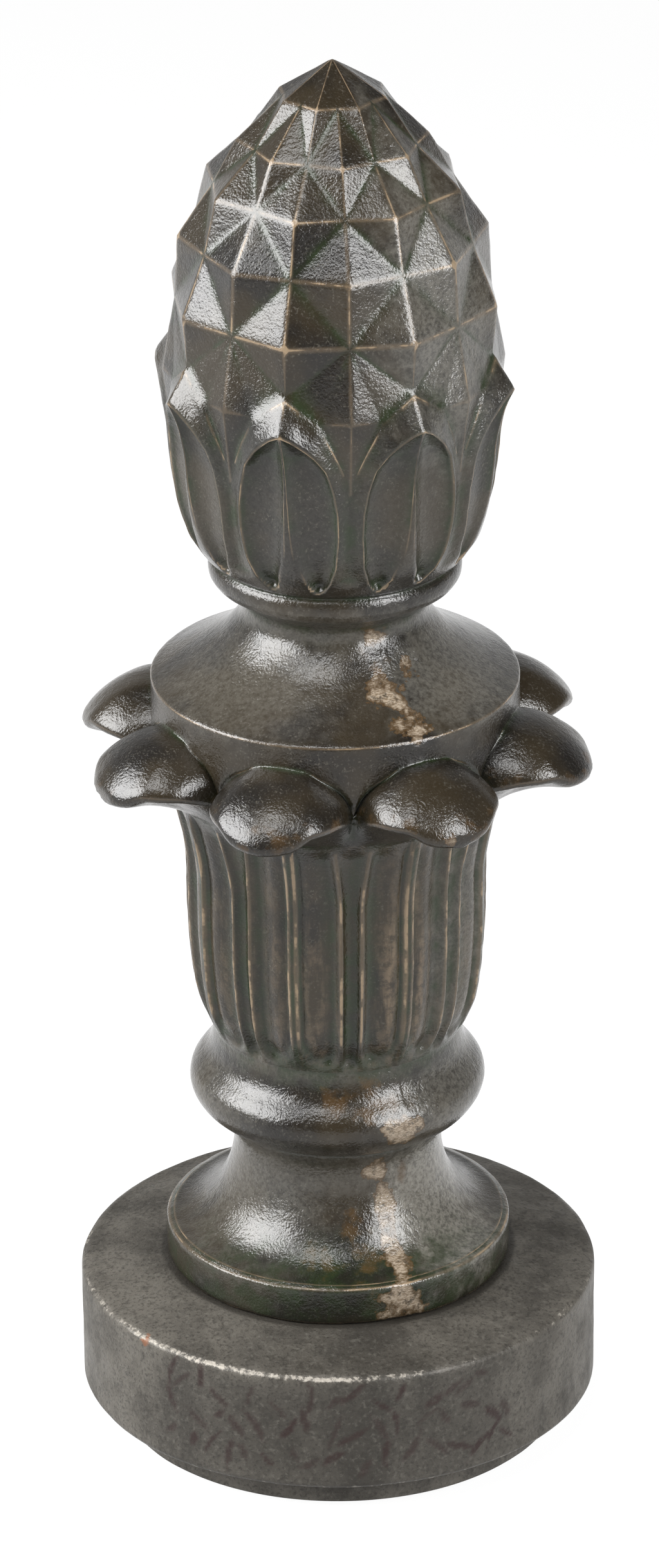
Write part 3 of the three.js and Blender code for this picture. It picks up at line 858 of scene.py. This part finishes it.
def plinth_shape():
    inset = PLINTH_RADIUS - INSET_STEP
    rim = [(PLINTH_RADIUS - 0.6, INSET_HEIGHT + 0.4), (PLINTH_RADIUS, INSET_HEIGHT + 1.6)]
    runs = [
        path([(1, 0), (inset - 1, 0)], 6),
        path([(inset, 0.8), (inset, INSET_HEIGHT - 0.8)], 8),
        path([(inset + 0.8, INSET_HEIGHT), (PLINTH_RADIUS - 1.6, INSET_HEIGHT)], 6),
        path(rim + [(PLINTH_RADIUS, EDGE_Z - 1.8)], 36),
        path([(PLINTH_RADIUS - 0.3, EDGE_Z - 0.7), (PLINTH_RADIUS - 1.5, EDGE_Z + 0.1)], 2),
        path([(PLINTH_RADIUS - 2.4, EDGE_Z + 0.3), (FOOT_RADIUS + 2, SEAT_Z), (FOOT_RADIUS - 6, SEAT_Z)], 30),
        path([(FOOT_RADIUS - 9, SEAT_Z), (1, SEAT_Z)], 8),
    ]
    turn = np.linspace(0, 2 * np.pi, PLINTH_COLUMNS, endpoint=False)
    rings = []
    for radii, heights in runs:
        for r, z in zip(radii, heights):
            rings.append(np.stack([r * np.sin(turn), -r * np.cos(turn), np.full_like(turn, z)], axis=1))
    faces = []
    for i in range(len(rings) - 1):
        low, high = i * PLINTH_COLUMNS, (i + 1) * PLINTH_COLUMNS
        for j in range(PLINTH_COLUMNS):
            k = (j + 1) % PLINTH_COLUMNS
            faces.append([low + j, low + k, high + k, high + j])
    top = (len(rings) - 1) * PLINTH_COLUMNS
    faces.append(list(range(PLINTH_COLUMNS))[::-1])
    faces.append(list(range(top, top + PLINTH_COLUMNS)))
    return weld("plinth_block", np.concatenate(rings), faces)


def stroke_marks(azimuth, z, points):
    """Rows of short dark strokes on the side that spell nothing."""
    draw = np.random.default_rng(7)
    fray = 0.4 * lumps(points, 3, 11)
    found = np.zeros(len(z))
    for row_z in STROKE_ROWS:
        centre = -STROKE_REACH
        while centre < STROKE_REACH:
            lean = draw.uniform(-1.3, 1.3)
            length = draw.uniform(3, 8)
            across = arc(azimuth - centre, PLINTH_RADIUS)
            up = z - row_z - draw.uniform(-4, 4)
            along_it = across * math.sin(lean) + up * math.cos(lean)
            off_it = across * math.cos(lean) - up * math.sin(lean) + draw.uniform(-0.03, 0.03) * along_it ** 2
            width = draw.uniform(0.9, 1.9)
            mark = 1 - ease(np.hypot(along_it / length, off_it / width) + fray, 0.7, 1.2)
            found = np.maximum(found, mark * draw.uniform(0.55, 1))
            centre += draw.uniform(3, 8)
    return found


def plinth_wear(mesh):
    """Unevenness of the plinth, its bitten edges and its marks, with a painted highlight along the top edge
    towards the front left. The underside stays flat.
    """
    points = vertex_places(mesh)
    azimuth, radius, z = around(points)
    side = ease(radius, PLINTH_RADIUS - 0.6, PLINTH_RADIUS - 0.1) * (z > INSET_HEIGHT)
    top_edge = 1 - ease(np.hypot(radius - PLINTH_RADIUS + 0.6, z - EDGE_Z + 0.3), 0.7, 2.4)
    low_edge = 1 - ease(np.hypot(radius - PLINTH_RADIUS, z - INSET_HEIGHT), 0.8, 2)
    front_left = hump(azimuth + 25, 45)
    bite = np.clip(1.4 * lumps(points, 26, 21) + 0.6 * lumps(points, 7, 22), -0.4, 1)
    # The pale top edge is wear, and a painted highlight where it is weighted towards the front left.
    keep(mesh, "worn_and_highlight", np.maximum(top_edge * (0.3 + 0.5 * front_left + 0.35 * bite), 0.6 * low_edge))
    keep(mesh, "side", side)
    keep(mesh, "grime", spot(azimuth, z, GRIME_PLACE, 44, 34, lumps(points, 14, 26)))
    keep(mesh, "strokes", stroke_marks(azimuth, z, points) * side)
    keep(mesh, "seam", 1 - ease(np.hypot(radius - FOOT_RADIUS, z - SEAT_Z), 0.5, 5))
    keep(mesh, "rust", spot(azimuth, z, RUST_PLACE, 1.5, 2.2, lumps(points, 2, 5), 0.8))

    under_foot = ease(FOOT_RADIUS + 6 - radius, 0, 4) * (z > EDGE_Z)
    height = unevenness(points, PLINTH_LAYERS) * (1 - under_foot)
    height -= top_edge * (0.3 + 0.9 * front_left * bite)
    raise_by(mesh, np.where(z < 0.5, 0, height))


# Materials

class Shader:
    """A material whose nodes are made by short calls. Sizes are in millimetres."""

    def __init__(self, name, colour):
        self.material = bpy.data.materials.new(name)
        self.material.use_nodes = True
        self.tree = self.material.node_tree
        self.surface = self.tree.nodes["Principled BSDF"]
        self.coordinates = self.tree.nodes.new("ShaderNodeTexCoord").outputs["Object"]
        self.colour = colour

    def put(self, value, socket):
        if isinstance(value, bpy.types.NodeSocket):
            self.tree.links.new(value, socket)
        elif isinstance(value, tuple):
            socket.default_value = (*value, 1)
        else:
            socket.default_value = value

    def set(self, **values):
        """Puts values on the surface's sockets, with _ for the spaces in their names."""
        for name, value in values.items():
            self.put(value, self.surface.inputs[name.replace("_", " ")])

    def attribute(self, name):
        node = self.tree.nodes.new("ShaderNodeAttribute")
        node.attribute_name = name
        return node.outputs["Fac"]

    def noise(self, size, detail, rough=0.5, stretch=(1, 1, 1)):
        mapping = self.tree.nodes.new("ShaderNodeMapping")
        mapping.inputs["Scale"].default_value = stretch
        self.tree.links.new(self.coordinates, mapping.inputs["Vector"])
        node = self.tree.nodes.new("ShaderNodeTexNoise")
        self.tree.links.new(mapping.outputs["Vector"], node.inputs["Vector"])
        node.inputs["Scale"].default_value = 1 / (size * MM)
        node.inputs["Detail"].default_value = detail
        node.inputs["Roughness"].default_value = rough
        return node.outputs["Fac"]

    def step(self, value, low, high, to_low=0.0, to_high=1.0):
        """Eases from to_low to to_high while the value goes from low to high."""
        node = self.tree.nodes.new("ShaderNodeMapRange")
        node.interpolation_type = "SMOOTHSTEP"
        self.put(value, node.inputs["Value"])
        node.inputs["From Min"].default_value = low
        node.inputs["From Max"].default_value = high
        node.inputs["To Min"].default_value = to_low
        node.inputs["To Max"].default_value = to_high
        return node.outputs["Result"]

    def combine(self, operation, one, other):
        node = self.tree.nodes.new("ShaderNodeMath")
        node.operation = operation
        self.put(one, node.inputs[0])
        self.put(other, node.inputs[1])
        return node.outputs[0]

    def times(self, one, other):
        return self.combine("MULTIPLY", one, other)

    def plus(self, one, other):
        return self.combine("ADD", one, other)

    def mix(self, share, one, other):
        node = self.tree.nodes.new("ShaderNodeMix")
        node.data_type = "RGBA"
        self.put(share, node.inputs[0])
        self.put(one, node.inputs[6])
        self.put(other, node.inputs[7])
        return node.outputs[2]

    def cover(self, share, colour):
        """Lays a colour over the colour so far."""
        self.colour = self.mix(share, self.colour, colour)

    def bump(self, height, distance, before=None):
        node = self.tree.nodes.new("ShaderNodeBump")
        node.inputs["Strength"].default_value = 1
        node.inputs["Distance"].default_value = distance * MM
        self.put(height, node.inputs["Height"])
        if before is not None:
            self.tree.links.new(before, node.inputs["Normal"])
        return node.outputs["Normal"]


DARK_IRON = (0.006, 0.005, 0.004)
BROWN_IRON = (0.015, 0.011, 0.006)
AMBER_RUST = (0.042, 0.022, 0.006)
DEEP_GREEN = (0.008, 0.014, 0.004)
GREY_DUST_AND_SHEEN = (0.122, 0.115, 0.099)
PALE_FLECK = (0.072, 0.066, 0.054)
DRY_TAN = (0.100, 0.073, 0.047)
GROUND_METAL_AND_HIGHLIGHT = (0.205, 0.168, 0.127)
WORN_TAN = (0.210, 0.152, 0.095)


def sealed_iron():
    """Dark cast iron under a clear gloss, with dust and some painted sheen, rust, green in the hollows, pale
    worn ridges and a painted highlight on a lobe's chip.
    """
    s = Shader("sealed_iron", DARK_IRON)
    blotch = s.noise(9, 4, 0.6)
    fine = s.noise(3.2, 4, 0.65)
    frayed = s.step(s.noise(9, 5, 0.6), 0.3, 0.7, -0.5, 0.5)
    s.cover(s.step(s.noise(34, 3), 0.4, 0.62), BROWN_IRON)

    flecks = s.step(s.noise(1.0, 3, 0.6), 0.54, 0.7)
    s.cover(s.times(flecks, s.step(blotch, 0.35, 0.65, 0.1, 0.5)), PALE_FLECK)
    # Grey dust, with painted sheen in some of its spots.
    s.cover(s.times(s.attribute("dust_and_sheen"), s.step(s.noise(1.8, 4, 0.7), 0.3, 0.65, 0.3, 0.95)), GREY_DUST_AND_SHEEN)

    streak = s.step(s.noise(3.4, 3, 0.55, (1, 1, 0.15)), 0.36, 0.64, 0.05, 0.75)
    dry = s.times(s.attribute("tan"), streak)
    s.cover(s.times(dry, s.step(fine, 0.32, 0.6, 0.2, 1.0)), DRY_TAN)
    s.cover(s.times(s.attribute("dirt"), s.step(blotch, 0.35, 0.65, 0.15, 0.9)), DEEP_GREEN)
    s.cover(s.step(s.plus(s.attribute("amber"), frayed), 0.56, 1.25, 0, 0.6), AMBER_RUST)

    # Ground spots, with file marks and a rusty rim. The spot on a lobe's chip is a painted highlight in the
    # same pale metal.
    ground_and_chip_highlight = s.plus(s.attribute("ground_and_chip_highlight"), frayed)
    scratch = s.step(s.noise(1.5, 3, 0.6, (1, 1, 6)), 0.42, 0.6)
    metal_and_highlight = s.mix(scratch, GROUND_METAL_AND_HIGHLIGHT, DRY_TAN)
    metal_and_highlight = s.mix(s.step(fine, 0.5, 0.66, 0, 0.8), metal_and_highlight, BROWN_IRON)
    s.cover(s.step(ground_and_chip_highlight, 0.51, 0.6, 0, 0.7), AMBER_RUST)
    s.cover(s.step(ground_and_chip_highlight, 0.55, 1.1), metal_and_highlight)

    ridge = s.attribute("ridge")
    broken = s.plus(ridge, s.step(s.noise(14, 4, 0.65), 0.35, 0.65, -0.32, 0.14))
    s.cover(s.step(ridge, 0.3, 0.9, 0, 0.3), DRY_TAN)
    s.cover(s.step(broken, 0.8, 1.05, 0, 0.55), WORN_TAN)

    skin = s.bump(s.noise(2.8, 2, 0.5), 0.2)
    skin = s.bump(s.noise(0.9, 2, 0.55), 0.19, skin)
    s.set(Base_Color=s.colour, Roughness=s.step(blotch, 0.3, 0.7, 0.35, 0.55), Specular_IOR_Level=0.06)
    s.set(Coat_Weight=1.0, Coat_Roughness=0.16, Coat_IOR=1.42)
    s.set(Normal=skin, Coat_Normal=skin)
    return s.material


PLINTH_SIDE = (0.076, 0.069, 0.058)
PLINTH_TOP = (0.076, 0.069, 0.058)
PLINTH_STAIN = (0.016, 0.014, 0.011)
STROKE_PAINT = (0.016, 0.007, 0.006)
WORN_STEEL_AND_HIGHLIGHT = (0.210, 0.192, 0.165)
FRESH_RUST = (0.140, 0.048, 0.016)


def dull_iron():
    """Grey-brown iron without gloss, with bright edges that are worn and carry a painted highlight towards
    the front left, and old paint strokes.
    """
    s = Shader("dull_iron", PLINTH_TOP)
    blotch = s.noise(22, 4, 0.6)
    speck = s.noise(2.2, 4, 0.65)
    s.cover(s.attribute("side"), PLINTH_SIDE)
    s.cover(s.step(blotch, 0.42, 0.66, 0, 0.42), PLINTH_STAIN)
    s.cover(s.step(s.noise(4, 4, 0.65), 0.5, 0.7, 0, 0.5), PLINTH_STAIN)
    s.cover(s.step(s.attribute("grime"), 0, 1, 0, 0.6), PLINTH_STAIN)
    s.cover(s.step(s.noise(26, 4, 0.6, (1, 1, 0.3)), 0.48, 0.66, 0, 0.5), PLINTH_STAIN)
    s.cover(s.step(s.noise(1.4, 3, 0.6), 0.5, 0.66, 0, 0.6), PLINTH_STAIN)
    s.cover(s.step(speck, 0.5, 0.72, 0, 0.3), GREY_DUST_AND_SHEEN)
    s.cover(s.times(s.attribute("strokes"), s.step(speck, 0.3, 0.5, 0.4, 0.95)), STROKE_PAINT)
    s.cover(s.step(s.attribute("seam"), 0.3, 1, 0, 0.8), PLINTH_STAIN)
    s.cover(s.step(s.attribute("rust"), 0.3, 0.9, 0, 0.7), FRESH_RUST)
    # Pale worn edges, with a painted highlight towards the front left.
    worn_and_highlight = s.plus(s.attribute("worn_and_highlight"), s.step(speck, 0.3, 0.7, -0.4, 0.25))
    s.cover(s.step(worn_and_highlight, 0.45, 0.9), WORN_STEEL_AND_HIGHLIGHT)

    skin = s.bump(s.noise(7, 3), 0.3)
    skin = s.bump(s.noise(1.4, 3, 0.6), 0.3, skin)
    s.set(Base_Color=s.colour, Roughness=s.step(blotch, 0.3, 0.7, 0.42, 0.6), Normal=skin)
    s.set(Metallic=0.25, Specular_IOR_Level=0.35)
    return s.material


# Studio

FLOOR_REACH = 12  # metres each way
FLOOR_GREY = 0.1
FLOOR_GLOW = 0.9
WORLD_DIM = 0.08
WORLD_SWEEP = 0.5
AIM = Vector((0, 0, 0.3))
SOFTBOXES = [
    # azimuth from the front towards +X, elevation, distance, width, height, radiance
    ("left_softbox", -76, 26, 1.7, 1.5, 1.1, 17.5),
    ("right_softbox", 48, 24, 1.7, 0.75, 1.3, 17.5),
    ("upper_fill", -24, 58, 1.7, 0.9, 0.6, 10.5),
]


def floor_piece():
    mesh = bpy.data.meshes.new("floor")
    low, high = -FLOOR_REACH, FLOOR_REACH
    mesh.from_pydata([(low, low, 0), (high, low, 0), (high, high, 0), (low, high, 0)], [], [(0, 1, 2, 3)])
    floor = add("floor", mesh)
    s = Shader("white_floor", (FLOOR_GREY,) * 3)
    s.set(Base_Color=s.colour, Roughness=0.9, Specular_IOR_Level=0.1)
    s.set(Emission_Color=(1, 1, 1), Emission_Strength=FLOOR_GLOW)
    mesh.materials.append(s.material)


def softbox(name, azimuth, elevation, distance, width, height, radiance):
    light = add(name, bpy.data.lights.new(name, "AREA"))
    light.data.shape = "RECTANGLE"
    light.data.size = width
    light.data.size_y = height
    light.data.energy = radiance * math.pi * width * height
    a, e = math.radians(azimuth), math.radians(elevation)
    out = Vector((math.sin(a) * math.cos(e), -math.cos(a) * math.cos(e), math.sin(e)))
    light.location = AIM + distance * out
    light.rotation_euler = (AIM - light.location).to_track_quat("-Z", "Y").to_euler()


def studio_world():
    """Dim studio with a white sweep behind the object, towards +Y."""
    world = bpy.data.worlds.new("studio")
    world.use_nodes = True
    tree = world.node_tree
    coordinates = tree.nodes.new("ShaderNodeTexCoord")
    split = tree.nodes.new("ShaderNodeSeparateXYZ")
    tree.links.new(coordinates.outputs["Generated"], split.inputs[0])
    behind = tree.nodes.new("ShaderNodeMapRange")
    behind.interpolation_type = "SMOOTHSTEP"
    tree.links.new(split.outputs["Y"], behind.inputs["Value"])
    behind.inputs["From Min"].default_value = 0.35
    behind.inputs["From Max"].default_value = 0.8
    behind.inputs["To Min"].default_value = WORLD_DIM
    behind.inputs["To Max"].default_value = WORLD_SWEEP
    tree.links.new(behind.outputs["Result"], tree.nodes["Background"].inputs["Strength"])
    tree.nodes["Background"].inputs["Color"].default_value = (1, 1, 1, 1)
    bpy.context.scene.world = world


# Camera, fitted to the photograph's ellipses
CAMERA_PLACE = (-0.002468, -2.787856, 1.587613)
CAMERA_PITCH = 0.442284  # radians below the horizon
CAMERA_ROLL = -0.0054475
FOCAL_PIXELS = 12486.375
PHOTO_HEIGHT = 2437
SENSOR = 36


def photo_camera():
    camera = add("camera", bpy.data.cameras.new("camera"))
    camera.location = CAMERA_PLACE
    tilt = Matrix.Rotation(math.pi / 2 - CAMERA_PITCH, 3, "X")
    camera.rotation_euler = (tilt @ Matrix.Rotation(CAMERA_ROLL, 3, "Z")).to_euler()
    camera.data.sensor_fit = "VERTICAL"
    camera.data.sensor_height = SENSOR
    camera.data.lens = FOCAL_PIXELS / PHOTO_HEIGHT * SENSOR
    bpy.context.scene.camera = camera


def dress(piece, node, material):
    piece.data.transform(Matrix.Scale(MM, 4))
    piece.data.materials.append(material)
    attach(piece, "root")
    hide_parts(node)


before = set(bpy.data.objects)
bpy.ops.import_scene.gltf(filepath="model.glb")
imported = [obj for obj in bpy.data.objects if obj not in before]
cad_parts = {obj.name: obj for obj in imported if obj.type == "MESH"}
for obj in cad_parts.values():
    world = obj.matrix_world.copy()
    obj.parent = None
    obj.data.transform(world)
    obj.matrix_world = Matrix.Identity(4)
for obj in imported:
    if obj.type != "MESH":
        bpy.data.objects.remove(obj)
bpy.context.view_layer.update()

finial, finial_bend = finial_shape()
cast_wear(finial.data, finial_bend)
for place in LOBE_CHIPS:
    chip(finial.data, place)
dress(finial, "finial", sealed_iron())

plinth = plinth_shape()
plinth_wear(plinth.data)
dress(plinth, "plinth", dull_iron())

floor_piece()
for box in SOFTBOXES:
    softbox(*box)
studio_world()
photo_camera()
bpy.context.scene.view_settings.view_transform = "Standard"
